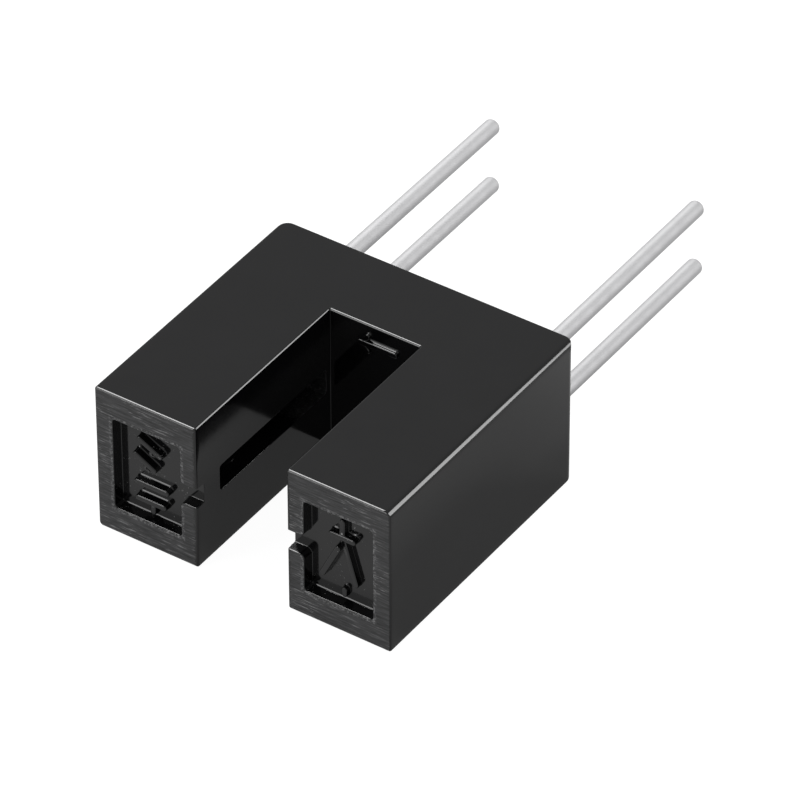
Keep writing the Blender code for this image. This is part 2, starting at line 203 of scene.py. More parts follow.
def closed_surface(name, rings):
    """One closed mesh through R rings of N points. A face joins each pair of neighbours on two rings, and
    each end closes on the middle of its ring. A negative volume means inside out, so it is turned."""
    count, around = rings.shape[:2]
    points = np.concatenate([rings.reshape(-1, 3), rings[:1].mean(1), rings[-1:].mean(1)])
    ring, spot = np.meshgrid(np.arange(count - 1), np.arange(around), indexing="ij")
    here = ring * around + spot
    beside = ring * around + (spot + 1) % around
    quads = np.stack([here, beside, beside + around, here + around], -1).reshape(-1, 4)
    spots = np.arange(around)
    nexts = (spots + 1) % around
    first = np.stack([nexts, spots, np.full(around, count * around)], -1)
    last_ring = (count - 1) * around
    last = np.stack([last_ring + spots, last_ring + nexts, np.full(around, count * around + 1)], -1)
    triangles = np.concatenate([quads[:, :3], quads[:, [0, 2, 3]], first, last])
    a, b, c = (points[triangles[:, k]] for k in range(3))
    faces = quads.tolist() + first.tolist() + last.tolist()
    mesh = bpy.data.meshes.new(name)
    mesh.from_pydata(points.tolist(), [], faces)
    if np.einsum("ij,ij->", a, np.cross(b, c)) < 0:
        mesh.flip_normals()
    thing = bpy.data.objects.new(name, mesh)
    bpy.context.scene.collection.objects.link(thing)
    return thing


def settle(thing):
    """Applies the object's modifiers to its mesh."""
    graph = bpy.context.evaluated_depsgraph_get()
    mesh = bpy.data.meshes.new_from_object(thing.evaluated_get(graph), depsgraph=graph)
    rough = thing.data
    thing.modifiers.clear()
    thing.data = mesh
    bpy.data.meshes.remove(rough)


def combine(thing, tools, operation):
    """Cuts the tools from an object, or joins them to it, by exact Booleans, and removes them."""
    for tool in tools:
        step = thing.modifiers.new(tool.name, "BOOLEAN")
        step.operation = operation
        step.solver = "EXACT"
        step.object = tool
    settle(thing)
    for tool in tools:
        mesh = tool.data
        bpy.data.objects.remove(tool)
        bpy.data.meshes.remove(mesh)


def finish_piece(thing, node, material, smooth_angle=SMOOTH_ANGLE):
    """Writes a piece in metres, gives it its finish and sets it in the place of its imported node."""
    thing.data.transform(Matrix.Scale(1 / MM, 4))
    if smooth_angle:
        thing.data.shade_smooth()
        thing.data.set_sharp_from_angle(angle=math.radians(smooth_angle))
    thing.data.materials.clear()
    thing.data.materials.append(material)
    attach(thing, "root")
    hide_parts(node)


# Housing

def stroke(name, start, end, height, width, base_y):
    """One raised stroke. Its outline is a stadium, two half circles about the stroke's ends, carried along Y
    from inside the wall. The half circles' radius follows a profile: a hollow quarter circle out of the
    wall, a straight side drafted by STROKE_DRAFT, and a quarter circle onto the flat front. The hollow's
    radius grows with the cube of how far its side faces up. One more point STROKE_STEP_IN from each end of
    the straight sides keeps their shading even."""
    start, end = np.array(start), np.array(end)
    heading = math.atan2(end[1] - start[1], end[0] - start[0])
    half_turn = np.linspace(-math.pi / 2, math.pi / 2, 13)
    half_turn = np.concatenate([half_turn[:1], half_turn, half_turn[-1:]])
    angles = heading + np.concatenate([half_turn, half_turn + math.pi])
    centres = np.repeat([end, start], len(half_turn), axis=0)
    step_in = (end - start) / np.linalg.norm(end - start) * STROKE_STEP_IN
    centres[[0, len(half_turn) - 1]] -= step_in
    centres[[len(half_turn), -1]] += step_in
    round_about = np.stack([np.cos(angles), np.sin(angles)], -1)
    hollow = STROKE_FILLET + (UPPER_FILLET - STROKE_FILLET) * np.clip(round_about[:, 1], 0, 1) ** 3
    hollow = np.minimum(hollow, height / 2)
    lip = min(STROKE_LIP, height / 3)
    flare = height * math.tan(math.radians(STROKE_DRAFT))
    turn = np.linspace(0, math.pi / 2, 6)[:, None]
    foot_out = flare + hollow * (1 - np.sin(turn))
    foot_level = hollow * (1 - np.cos(turn)) - STROKE_SUNK
    front_out = np.broadcast_to(-lip * (1 - np.cos(turn)), foot_out.shape)
    front_level = np.broadcast_to(height - lip * (1 - np.sin(turn)), foot_out.shape)
    radius = width / 2 + np.concatenate([foot_out[:1], foot_out, front_out])
    level = np.concatenate([np.full_like(foot_level[:1], -STROKE_ROOT), foot_level, front_level])
    rings = np.empty((*radius.shape, 3))
    rings[..., (0, 2)] = centres + radius[..., None] * round_about
    rings[..., 1] = base_y - level
    return closed_surface(name, rings)


def lower_fillet(name, side):
    """The hollow fillet at the foot of a panel's lower wall: a quarter circle in Y and Z, tilted with the
    wall's draft, carried along X and sunk a little into the wall and the floor."""
    floor_y, wall_z = ARM_END_Y + PANEL_DEPTH, HOUSING_LOW[2] + LOWER_WALL_UP
    turn = np.linspace(0, math.pi / 2, 10)
    y = floor_y - LOWER_FILLET * (1 - np.cos(turn))
    z = wall_z + LOWER_FILLET * (1 - np.sin(turn)) - (floor_y - y) * math.tan(math.radians(PANEL_DRAFT))
    deep_y, deep_z = floor_y + FILLET_ROOT, wall_z - FILLET_ROOT
    y = np.concatenate([y + FILLET_SUNK * np.cos(turn), [y[-1], deep_y, deep_y]])
    z = np.concatenate([z - FILLET_SUNK * np.sin(turn), [deep_z, deep_z, z[0]]])
    rings = np.empty((2, len(y), 3))
    rings[..., 0] = side * np.array([[MOUTH_NEAR_OUT], [MOUTH_FAR_OUT]])
    rings[..., 1], rings[..., 2] = y, z
    return closed_surface(name, rings)


def raised_mark(name, strokes, width, base_y):
    """One mark: its strokes joined to one body."""
    parts = [stroke(f"{name}_{k}", *one, width, base_y) for k, one in enumerate(strokes)]
    combine(parts[0], parts[1:], "UNION")
    return parts[0]


# The marks' strokes: both ends in X and Z as seen from in front of the arm ends, and the height
DIODE_SYMBOL = [
    ((3.89, 4.48), (3.89, 3.83), 0.23),
    ((3.46, 3.83), (4.33, 3.83), 0.26),
    ((3.92, 3.71), (4.41, 2.03), 0.23),
    ((3.80, 3.41), (3.18, 2.12), 0.38),
    ((3.92, 1.56), (3.92, 1.38), 0.18),
]
PHOTOCELL_SYMBOL = [
    ((-4.44, 2.45), (-3.22, 2.45), 0.28),
    ((-4.40, 1.77), (-3.34, 1.77), 0.28),
    ((-3.84, 1.68), (-3.84, 1.32), 0.20),
    ((-4.28, 4.34), (-3.46, 3.92), 0.28),
    ((-3.46, 3.92), (-3.80, 3.90), 0.26),
    ((-4.46, 3.62), (-3.72, 3.22), 0.28),
    ((-3.72, 3.22), (-4.06, 3.20), 0.26),
]
BEAM_ARROW = [
    ((0.88, 5.19), (-0.58, 5.19), 0.13),
    ((-0.58, 5.19), (-0.24, 5.49), 0.12),
    ((-0.58, 5.19), (-0.24, 4.89), 0.12),
]


def make_housing(material):
    """The moulded U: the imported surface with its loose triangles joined, its flats made whole and then cut
    near the corners for even shading, every sharp edge given the small radius that a mould leaves, and the
    raised marks and the panels' lower fillets joined to it."""
    merged = bmesh.new()
    merged.from_mesh(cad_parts["housing"].data)
    bmesh.ops.scale(merged, vec=(MM, MM, MM), verts=merged.verts)
    bmesh.ops.remove_doubles(merged, verts=merged.verts, dist=WELD)
    bmesh.ops.dissolve_limit(
        merged, angle_limit=math.radians(FLAT_ANGLE), use_dissolve_boundaries=False, verts=merged.verts,
        edges=merged.edges, delimit=set(),
    )
    for axis, places in enumerate(SHADING_CUTS):
        for place in places:
            spot, normal = np.zeros(3), np.zeros(3)
            spot[axis], normal[axis] = place, 1
            every_part = [*merged.verts, *merged.edges, *merged.faces]
            bmesh.ops.bisect_plane(merged, geom=every_part, dist=WELD, plane_co=spot, plane_no=normal)
    mesh = bpy.data.meshes.new("moulded_housing")
    merged.to_mesh(mesh)
    merged.free()
    mesh.materials.clear()
    body = bpy.data.objects.new("moulded_housing", mesh)
    bpy.context.scene.collection.objects.link(body)

    rounding = body.modifiers.new("small_edges", "BEVEL")
    rounding.width = SMALL_EDGE
    rounding.segments = 3
    rounding.limit_method = "ANGLE"
    rounding.angle_limit = math.radians(SHARP_ANGLE)
    rounding.use_clamp_overlap = False
    rounding.miter_outer = "MITER_ARC"
    settle(body)

    panel_floor = ARM_END_Y + PANEL_DEPTH
    slot_root = ARM_END_Y + SLOT_DEPTH
    combine(body, [
        raised_mark("diode_symbol", DIODE_SYMBOL, STROKE_WIDTH, panel_floor),
        raised_mark("photocell_symbol", PHOTOCELL_SYMBOL, STROKE_WIDTH, panel_floor),
        raised_mark("beam_arrow", BEAM_ARROW, STROKE_WIDTH, slot_root),
        lower_fillet("emitter_panel_fillet", 1),
        lower_fillet("detector_panel_fillet", -1),
    ], "UNION")

    body.data.shade_smooth()
    body.data.set_sharp_from_angle(angle=math.radians(SMOOTH_ANGLE))
    shading = body.modifiers.new("flat_faces_lead", "WEIGHTED_NORMAL")
    shading.mode = "FACE_AREA"
    shading.weight = 50
    shading.keep_sharp = True
    settle(body)
    finish_piece(body, "housing", material, smooth_angle=None)


# Leads

def superellipse(steps, squareness):
    """Unit superellipse: the cosine and sine of a turning angle, each raised to 2 / squareness."""
    angles = 2 * math.pi * (np.arange(steps) + 0.5) / steps
    power = 2 / squareness[:, None]
    across, upwards = np.cos(angles), np.sin(angles)
    return (
        np.sign(across) * np.abs(across) ** power,
        np.sign(upwards) * np.abs(upwards) ** power,
    )


def make_lead(name, side, wire_up, head_low, head_high, head_length, material):
    """A round wire with a coined head. A superellipse is carried along it: its squareness falls from 8 to 2
    over the neck while its centre and half sizes follow a smooth step from the head's to the wire's. Quarter
    circles round the head's end and the wire's tip."""
    head_start = BEAM_ALONG - head_length / 2
    head_end = BEAM_ALONG + head_length / 2
    turn = np.linspace(0, math.pi / 2, 7)
    neck = np.linspace(0, 1, 29)
    shaft = np.linspace(head_end + NECK_LENGTH, TIP_ALONG - TIP_ROUND, 40)[1:-1]
    along = np.concatenate([
        head_start + HEAD_EDGE * (1 - np.cos(turn)),
        head_end + NECK_LENGTH * neck,
        shaft,
        TIP_ALONG - TIP_ROUND + TIP_ROUND * np.sin(turn),
    ])
    inset = np.concatenate([
        HEAD_EDGE * (1 - np.sin(turn)),
        np.zeros(len(neck) + len(shaft)),
        TIP_ROUND * (1 - np.cos(turn)),
    ])
    share = np.clip((along - head_end) / NECK_LENGTH, 0, 1)
    blend = share * share * (3 - 2 * share)
    head_centre, head_half = (head_low + head_high) / 2, (head_high - head_low) / 2
    centre_up = head_centre + (wire_up - head_centre) * blend
    half_width = head_half + (LEAD_RADIUS - head_half) * blend - inset
    half_thickness = HEAD_THICKNESS / 2 + (LEAD_RADIUS - HEAD_THICKNESS / 2) * blend - inset
    across, upwards = superellipse(48, 8 - 6 * np.sqrt(share))
    points = np.stack([
        LEAD_OUT + across * half_thickness[:, None],
        np.broadcast_to(along[:, None], across.shape),
        centre_up[:, None] + upwards * half_width[:, None],
    ], -1)
    finish_piece(closed_surface(f"tinned_{name}", on_side(points, side)), name, material)


# Packages, chips, bond wires and seals

def make_package(name, side, material):
    """A side-looking package as one surface: a ball's cap for the lens, a flat front that runs from the lens
    out to a rounded rectangle, rounded edges, and walls drafted to the lead plane from both faces. Each
    point's angle about the lens is that of its place on the rectangle."""
    half_up = (PACKAGE_HIGH[2] - PACKAGE_LOW[2]) / 2
    back_out = PACKAGE_HIGH[0]
    outline = rounded_outline(PACKAGE_TOP, PACKAGE_BASE, -half_up, half_up, PACKAGE_CORNER, 12)
    axis = np.array([BEAM_ALONG, 0.0])
    middle = np.array([(PACKAGE_TOP + PACKAGE_BASE) / 2, 0.0])
    half_sizes = np.array([(PACKAGE_BASE - PACKAGE_TOP) / 2, half_up])
    angles = np.arctan2(outline[:, 1] - axis[1], outline[:, 0] - axis[0])
    round_about = np.stack([np.cos(angles), np.sin(angles)], -1)
    ball = (LENS_RADIUS ** 2 + LENS_HEIGHT ** 2) / (2 * LENS_HEIGHT)
    spread = math.asin(LENS_RADIUS / ball)
    cap = np.linspace(0.04, 1, 22) * spread

    def wall(out, inset):
        shrink = 1 - inset[:, None] / half_sizes
        flat = middle + (outline - middle)[None] * shrink[:, None, :]
        return np.concatenate([np.broadcast_to(out[:, None, None], flat[..., :1].shape), flat], -1)

    lens = np.empty((len(cap), len(outline), 3))
    lens[..., 0] = (FRONT_OUT - LENS_HEIGHT + ball - ball * np.cos(cap))[:, None]
    lens[..., 1:] = axis + (ball * np.sin(cap))[:, None, None] * round_about
    turn = np.linspace(0, math.pi / 2, 6)
    front = wall(
        FRONT_OUT + PACKAGE_EDGE * (1 - np.cos(turn)), PACKAGE_DRAFT + PACKAGE_EDGE * (1 - np.sin(turn)))
    share = np.linspace(0, 1, 8)[1:-1, None, None]
    face = lens[-1] * (1 - share) + front[0] * share
    waist = wall(np.array([LEAD_OUT]), np.array([0.0]))
    back = wall(
        back_out - PACKAGE_EDGE * (1 - np.sin(turn)), PACKAGE_DRAFT + PACKAGE_EDGE * (1 - np.cos(turn)))
    rings = np.concatenate([lens, face, front, waist, back])
    finish_piece(
        closed_surface(f"moulded_{name}", on_side(rings, side)), name, material,
        smooth_angle=30)


def make_chip(name, side, size, height, material):
    """A sawn chip: a square carried from its base to its top, its last step drawn in as the etched edge."""
    base = LEAD_OUT - HEAD_THICKNESS / 2 - MOULD_GAP
    etch = size * 0.04
    outs = np.array([base, base - height * 0.6, base - height + etch, base - height])
    halves = np.array([size / 2, size / 2, size / 2, size / 2 - etch])
    corner = rounded_outline(-1, 1, -1, 1, 0.04, 3)
    rings = np.empty((len(outs), len(corner), 3))
    rings[..., 0] = outs[:, None]
    rings[..., 1] = BEAM_ALONG + corner[:, 0] * halves[:, None]
    rings[..., 2] = corner[:, 1] * halves[:, None]
    finish_piece(closed_surface(f"sawn_{name}", on_side(rings, side)), name, material,
    smooth_angle=30)


def make_bond_wire(name, side, height, material):
    """A circle carried along the wire's path: half a cosine from chip to post, arched towards the lens by a
    sine. Its radius swells to the bonded ball at the chip."""
    chip_top = LEAD_OUT - HEAD_THICKNESS / 2 - MOULD_GAP - height
    rise = (chip_top - FRONT_OUT) * WIRE_RISE_SHARE
    share = np.linspace(0, 1, 64)
    blend = (1 - np.cos(math.pi * share)) / 2
    start = np.array([chip_top - MOULD_GAP, BEAM_ALONG, 0.0])
    end = np.array([LEAD_OUT - HEAD_THICKNESS / 2 - MOULD_GAP, BEAM_ALONG, -LEAD_UP])
    path = start + (end - start) * blend[:, None]
    path[:, 0] -= rise * np.sin(math.pi * share)
    tangent = np.gradient(path, axis=0)
    tangent /= np.linalg.norm(tangent, axis=1, keepdims=True)
    across = np.array([0.0, 1.0, 0.0])
    over = np.cross(tangent, across)
    ball = np.exp(-(share / 0.035) ** 2)
    radius = BOND_WIRE_RADIUS + (BALL_RADIUS - BOND_WIRE_RADIUS) * ball
    angles = np.linspace(0, 2 * math.pi, 17)[:-1]
    rings = path[:, None] + radius[:, None, None] * (
        np.cos(angles)[:, None] * across + np.sin(angles)[None, :, None] * over[:, None])
    finish_piece(closed_surface(f"gold_{name}", on_side(rings, side)), name, material)


def make_seal(name, side, material):
    """The poured plug. Its outer face is rings that shrink to the middle of the pocket's outline. The face
    sags as the square of the ring's size, and climbs the walls and both leads as falling exponentials."""
    half_up = (SEAL_HIGH[2] - SEAL_LOW[2]) / 2
    outline = rounded_outline(SEAL_LOW[0], SEAL_HIGH[0], -half_up, half_up, SEAL_CORNER, 14)
    middle = np.array([(SEAL_LOW[0] + SEAL_HIGH[0]) / 2, 0.0])
    rim_along = SEAL_HIGH[1] - ARM_END_Y
    share = np.concatenate([1 - np.linspace(0, 0.12, 12), np.linspace(0.88, 0.02, 44)[1:]])
    spots = middle + share[:, None, None] * (outline - middle)
    wall_gap = (1 - share)[:, None] * np.linalg.norm(outline - middle, axis=1)
    leads = np.array([[LEAD_OUT, LEAD_UP], [LEAD_OUT, -LEAD_UP]])
    lead_gap = np.linalg.norm(spots[:, :, None] - leads, axis=-1).min(-1) - LEAD_RADIUS
    face = (
        rim_along - SEAL_SAG * (1 - share[:,
        None] ** 2) * 0.5 - WALL_CLIMB * (1 - np.exp(-wall_gap / CLIMB_REACH))
        + LEAD_CLIMB * np.exp(-np.clip(lead_gap, 0, None) / CLIMB_REACH)
    )
    rings = np.empty((len(share) + 1, len(outline), 3))
    rings[0, :, 0], rings[0, :, 2] = outline[:, 0], outline[:, 1]
    rings[0, :, 1] = rim_along - SEAL_THICKNESS
    rings[1:, :, 0], rings[1:, :, 2] = spots[..., 0], spots[..., 1]
    rings[1:, :, 1] = np.minimum(face, rim_along)
    plug = closed_surface(f"poured_{name}", on_side(rings, side))
    tools = []
    for up in (LEAD_UP, -LEAD_UP):
        angles = np.linspace(0, 2 * math.pi, 49)[:-1]
        hole = np.empty((2, len(angles), 3))
        hole[..., 0] = LEAD_OUT + LEAD_RADIUS * np.cos(angles)
        hole[..., 1] = np.array([rim_along - 2 * SEAL_THICKNESS, rim_along + SEAL_THICKNESS])[:, None]
        hole[..., 2] = up + LEAD_RADIUS * np.sin(angles)
        tools.append(closed_surface("lead_hole", on_side(hole, side)))
    combine(plug, tools, "DIFFERENCE")
    finish_piece(plug, name, material)


# Materials

def black_moulded_plastic():
    """Black glass-filled thermoplastic, moulded against polished steel: a deep even gloss, nearly black, that
    mirrors the paper and the room. The arm ends were ground on paper after moulding: grey and dull, with
    scratches along X, pale burr specks round the panels that also serve as a painted highlight on the mouths'
    lips, and nicks at the slot. Dust lies in the panels. The far end of each slit is rough where the tool's
    tongue was worn, and pale specks there are painted glints of the light its pits catch."""
    material, tree, shader, place = start_material("black_plastic_moulded_glossy")
    split = add(tree, "ShaderNodeSeparateXYZ", None, {0: place})

    # Ground rims: the flat of the arm ends, with an uneven border where the lips begin
    fray = add(tree, "ShaderNodeTexNoise", None, {
        "Vector": place, "Scale": 7.0, "Detail": 4.0, "Roughness": 0.7})
    border = add(tree, "ShaderNodeMath", {"operation": "MULTIPLY_ADD"}, {
        0: fray.outputs[0], 1: 0.014, 2: split.outputs[1]})
    ground = add(tree, "ShaderNodeMapRange", None, {
        "Value": border.outputs[0], "From Min": ARM_END_Y + 0.012, "From Max": ARM_END_Y + 0.020,
        "To Min": 1.0, "To Max": 0.0})

    # Fine scratches 0.05 mm apart and up to 1 mm long, and single deep ones 0.04 mm wide, along X
    turned = add(tree, "ShaderNodeMapping", None, {
        "Vector": place, "Rotation": (0, math.radians(4), 0), "Scale": (1.3, 1, 16.0)})
    fine = add(tree, "ShaderNodeTexNoise", None, {
        "Vector": turned.outputs[0], "Scale": 1.0, "Detail": 4.0, "Roughness": 0.6})
    crossed = add(tree, "ShaderNodeMapping", None, {
        "Vector": place, "Rotation": (0, math.radians(-5), 0), "Scale": (1.3, 1, 17.0)})
    coarse = add(tree, "ShaderNodeTexNoise", None, {
        "Vector": crossed.outputs[0], "Scale": 1.3, "Detail": 3.0, "Distortion": 0.2})
    deep = add(tree, "ShaderNodeMapRange", None, {
        "Value": coarse.outputs[0], "From Min": 0.56, "From Max": 0.68})
    patch = add(tree, "ShaderNodeTexNoise", None, {"Vector": place, "Scale": 0.9, "Detail": 2.0})
    where_deep = add(tree, "ShaderNodeMapRange", None, {
        "Value": patch.outputs[0], "From Min": 0.38, "From Max": 0.58})
    deep = add(tree, "ShaderNodeMath", {"operation": "MULTIPLY"}, {
        0: deep.outputs[0], 1: where_deep.outputs[0]})
    scratches = add(tree, "ShaderNodeMath", {"operation": "MULTIPLY_ADD"}, {
        0: deep.outputs[0], 1: 0.55, 2: fine.outputs[0]})
    # The lower rims are paler by a share of the ramp
    paler_low = add(tree, "ShaderNodeMapRange", None, {
        "Value": split.outputs[2], "From Min": MIDDLE_Z - MOUTH_HALF_UP,
        "From Max": MIDDLE_Z - MOUTH_HALF_UP - 0.3,
        "To Min": 0.0, "To Max": 0.075})
    ground_level = add(tree, "ShaderNodeMath", None, {0: scratches.outputs[0], 1: paler_low.outputs[0]})
    ground_tone = add(tree, "ShaderNodeValToRGB", None, {0: ground_level.outputs[0]})
    ramp = ground_tone.color_ramp
    ramp.elements[0].position = 0.36
    ramp.elements[0].color = linear("#151516")
    ramp.elements[1].position = 0.64
    ramp.elements[1].color = linear("#404041")
    bright = ramp.elements.new(1.0)
    bright.color = linear("#8a8a8b")

    # How far each point is outside the panel's mouth, a rectangle in X and Z: negative inside it
    sideways = add(tree, "ShaderNodeMath", {"operation": "ABSOLUTE"}, {0: split.outputs[0]})
    off_middle = add(tree, "ShaderNodeMath", {"operation": "SUBTRACT"}, {
        0: sideways.outputs[0], 1: (MOUTH_NEAR_OUT + MOUTH_FAR_OUT) / 2})
    off_middle = add(tree, "ShaderNodeMath", {"operation": "ABSOLUTE"}, {0: off_middle.outputs[0]})
    beside = add(tree, "ShaderNodeMath", {"operation": "SUBTRACT"}, {
        0: off_middle.outputs[0], 1: (MOUTH_FAR_OUT - MOUTH_NEAR_OUT) / 2})
    upwards = add(tree, "ShaderNodeMath", {"operation": "SUBTRACT"}, {0: split.outputs[2], 1: MIDDLE_Z})
    upwards = add(tree, "ShaderNodeMath", {"operation": "ABSOLUTE"}, {0: upwards.outputs[0]})
    above = add(tree, "ShaderNodeMath", {"operation": "SUBTRACT"}, {
        0: upwards.outputs[0], 1: MOUTH_HALF_UP})
    outside = add(tree, "ShaderNodeMath", {"operation": "MAXIMUM"}, {
        0: beside.outputs[0], 1: above.outputs[0]})

    # Burr and painted highlight: pale specks 0.06 mm wide on the flat within 0.1 mm of the mouth, part real
    # burr, part a painted highlight standing in for the lit lip
    speck = add(tree, "ShaderNodeTexNoise", None, {
        "Vector": place, "Scale": 9.0, "Detail": 3.0, "Roughness": 0.7})
    near_mouth = add(tree, "ShaderNodeMapRange", None, {
        "Value": outside.outputs[0], "From Min": 0.05, "From Max": 0.12, "To Min": 1.0, "To Max": 0.0})
    burr_and_painted_highlight = add(tree, "ShaderNodeMapRange", None, {
        "Value": speck.outputs[0], "From Min": 0.48, "From Max": 0.66})
    burr_and_painted_highlight = add(tree, "ShaderNodeMath", {"operation": "MULTIPLY"}, {
        0: burr_and_painted_highlight.outputs[0], 1: near_mouth.outputs[0]})
    # Pale specks: real burr, and a painted highlight along the mouth's lip
    ground_tone = add(tree, "ShaderNodeMix", {"data_type": "RGBA"}, {
        0: burr_and_painted_highlight.outputs[0], 6: ground_tone.outputs[0], 7: linear("#8c8c8d")})

    # Nicks: dark bites up to 0.1 mm into the flat at the slot's edges
    bite = add(tree, "ShaderNodeMath", {"operation": "MULTIPLY_ADD"}, {
        0: speck.outputs[0], 1: -0.5, 2: sideways.outputs[0]})
    nick = add(tree, "ShaderNodeMapRange", None, {
        "Value": bite.outputs[0], "From Min": SLOT_HALF - 0.15, "From Max": SLOT_HALF - 0.13,
        "To Min": 1.0, "To Max": 0.0})
    ground_tone = add(tree, "ShaderNodeMix", {"data_type": "RGBA"}, {
        0: nick.outputs[0], 6: ground_tone.outputs[2], 7: linear("#161616")})

    # Dust in the panels: pale grains 0.04 mm wide, in drifts
    grain = add(tree, "ShaderNodeTexNoise", None, {"Vector": place, "Scale": 14.0, "Detail": 2.0})
    drift = add(tree, "ShaderNodeTexNoise", None, {"Vector": place, "Scale": 1.4, "Detail": 2.0})
    grains = add(tree, "ShaderNodeMath", {"operation": "MULTIPLY_ADD"}, {
        0: drift.outputs[0], 1: 0.5, 2: grain.outputs[0]})
    in_panel = add(tree, "ShaderNodeMath", {"operation": "LESS_THAN"}, {0: outside.outputs[0], 1: 0.0})
    near_end = add(tree, "ShaderNodeMath", {"operation": "LESS_THAN"}, {
        0: split.outputs[1], 1: ARM_END_Y + 1.0})
    in_panel = add(tree, "ShaderNodeMath", {"operation": "MULTIPLY"}, {
        0: in_panel.outputs[0], 1: near_end.outputs[0]})
    dust = add(tree, "ShaderNodeMapRange", None, {
        "Value": grains.outputs[0], "From Min": 0.96, "From Max": 1.02})
    dust = add(tree, "ShaderNodeMath", {"operation": "MULTIPLY"}, {
        0: dust.outputs[0], 1: in_panel.outputs[0]})

    # Rough end of each slit: 0.05 mm speckle, its pale specks painted in as glints of the light its pits
    # catch
    inside = add(tree, "ShaderNodeMath", {"operation": "COMPARE"}, {
        0: sideways.outputs[0], 1: SLIT_WALL_OUT, 2: SLIT_WALL_REACH})
    far_end = add(tree, "ShaderNodeMapRange", None, {
        "Value": split.outputs[1], "From Min": ARM_END_Y + WORN_FROM, "From Max": ARM_END_Y + WORN_FULLY})
    in_slot = add(tree, "ShaderNodeMath", {"operation": "LESS_THAN"}, {
        0: split.outputs[1], 1: ARM_END_Y + SLOT_DEPTH})
    far_end = add(tree, "ShaderNodeMath", {"operation": "MULTIPLY"}, {
        0: far_end.outputs[0], 1: in_slot.outputs[0]})
    between = add(tree, "ShaderNodeMath", {"operation": "COMPARE"}, {
        0: split.outputs[2], 1: MIDDLE_Z, 2: SLIT_HALF_UP})
    worn_and_glints = add(tree, "ShaderNodeMath", {"operation": "MULTIPLY"}, {
        0: inside.outputs[0], 1: far_end.outputs[0]})
    worn_and_glints = add(tree, "ShaderNodeMath", {"operation": "MULTIPLY"}, {
        0: worn_and_glints.outputs[0], 1: between.outputs[0]})
    speckle = add(tree, "ShaderNodeTexNoise", None, {
        "Vector": place, "Scale": 13.0, "Detail": 3.0, "Roughness": 0.7})
    painted_glints = add(tree, "ShaderNodeMapRange", None, {
        "Value": speckle.outputs[0], "From Min": 0.52, "From Max": 0.72})
    # Painted highlight: pale speckle on the black standing in for light caught by the pits
    painted_glint_tone = add(tree, "ShaderNodeMix", {"data_type": "RGBA"}, {
        0: painted_glints.outputs[0], 6: linear("#080808"), 7: linear("#565656")})

    # Gloss: a faint unevenness of tone and roughness, 1 to 2 mm wide
    cloud = add(tree, "ShaderNodeTexNoise", None, {"Vector": place, "Scale": 0.7, "Detail": 2.0})
    tone = add(tree, "ShaderNodeMix", {"data_type": "RGBA"}, {
        0: cloud.outputs[0], 6: linear("#070708"), 7: linear("#0a0a0b")})
    tone = add(tree, "ShaderNodeMix", {"data_type": "RGBA"}, {
        0: dust.outputs[0], 6: tone.outputs[2], 7: linear("#6a6a6a")})
    tone = add(tree, "ShaderNodeMix", {"data_type": "RGBA"}, {
        0: worn_and_glints.outputs[0], 6: tone.outputs[2], 7: painted_glint_tone.outputs[2]})
    tone = add(tree, "ShaderNodeMix", {"data_type": "RGBA"}, {
        0: ground.outputs[0], 6: tone.outputs[2], 7: ground_tone.outputs[2]})

    rough = add(tree, "ShaderNodeMapRange", None, {
        "Value": cloud.outputs[0], "To Min": 0.07, "To Max": 0.12})
    rough = add(tree, "ShaderNodeMix", None, {0: worn_and_glints.outputs[0], 2: rough.outputs[0], 3: 0.5})
    rough = add(tree, "ShaderNodeMix", None, {0: ground.outputs[0], 2: rough.outputs[0], 3: 0.46})

    wave = add(tree, "ShaderNodeTexNoise", None, {"Vector": place, "Scale": 1.1, "Detail": 1.0})
    long_wave = add(tree, "ShaderNodeBump", None, {
        "Height": wave.outputs[0], "Strength": 1.0, "Distance": 0.000002})
    depth = add(tree, "ShaderNodeMath", {"operation": "MULTIPLY"}, {
        0: scratches.outputs[0], 1: ground.outputs[0]})
    depth = add(tree, "ShaderNodeMath", {"operation": "MULTIPLY_ADD"}, {
        0: speckle.outputs[0], 1: worn_and_glints.outputs[0], 2: depth.outputs[0]})
    relief = add(tree, "ShaderNodeBump", None, {
        "Height": depth.outputs[0], "Strength": 0.8, "Distance": 0.00001, "Normal": long_wave.outputs[0]})

    tree.links.new(tone.outputs[2], shader.inputs["Base Color"])
    tree.links.new(rough.outputs[0], shader.inputs["Roughness"])
    tree.links.new(relief.outputs[0], shader.inputs["Normal"])
    shader.inputs["IOR"].default_value = 1.5
    return material


def tinned_copper_wire():
    """Copper-clad wire, drawn and then tin plated: a pale soft metal with faint lines along the wire from
    the die and a slight mottle where the tin is thicker."""
    material, tree, shader, place = start_material("tinned_copper_wire_drawn")
    drawn = add(tree, "ShaderNodeMapping", None, {"Vector": place, "Scale": (16.0, 0.25, 16.0)})
    lines = add(tree, "ShaderNodeTexNoise", None, {"Vector": drawn.outputs[0], "Scale": 1.0, "Detail": 3.0})
    mottle = add(tree, "ShaderNodeTexNoise", None, {"Vector": place, "Scale": 2.2, "Detail": 4.0})
    mixed = add(tree, "ShaderNodeMath", {"operation": "MULTIPLY"}, {
        0: lines.outputs[0], 1: mottle.outputs[0]})
    tone = add(tree, "ShaderNodeMix", {"data_type": "RGBA"}, {
        0: mixed.outputs[0], 6: linear("#cbcbcc"), 7: linear("#bfbfc0")})
    rough = add(tree, "ShaderNodeMapRange", None, {
        "Value": mottle.outputs[0], "To Min": 0.60, "To Max": 0.70})
    relief = add(tree, "ShaderNodeBump", None, {
        "Height": mixed.outputs[0], "Strength": 0.5, "Distance": 0.000003})
    tree.links.new(tone.outputs[2], shader.inputs["Base Color"])
    tree.links.new(rough.outputs[0], shader.inputs["Roughness"])
    tree.links.new(relief.outputs[0], shader.inputs["Normal"])
    shader.inputs["Metallic"].default_value = 1.0
    return material


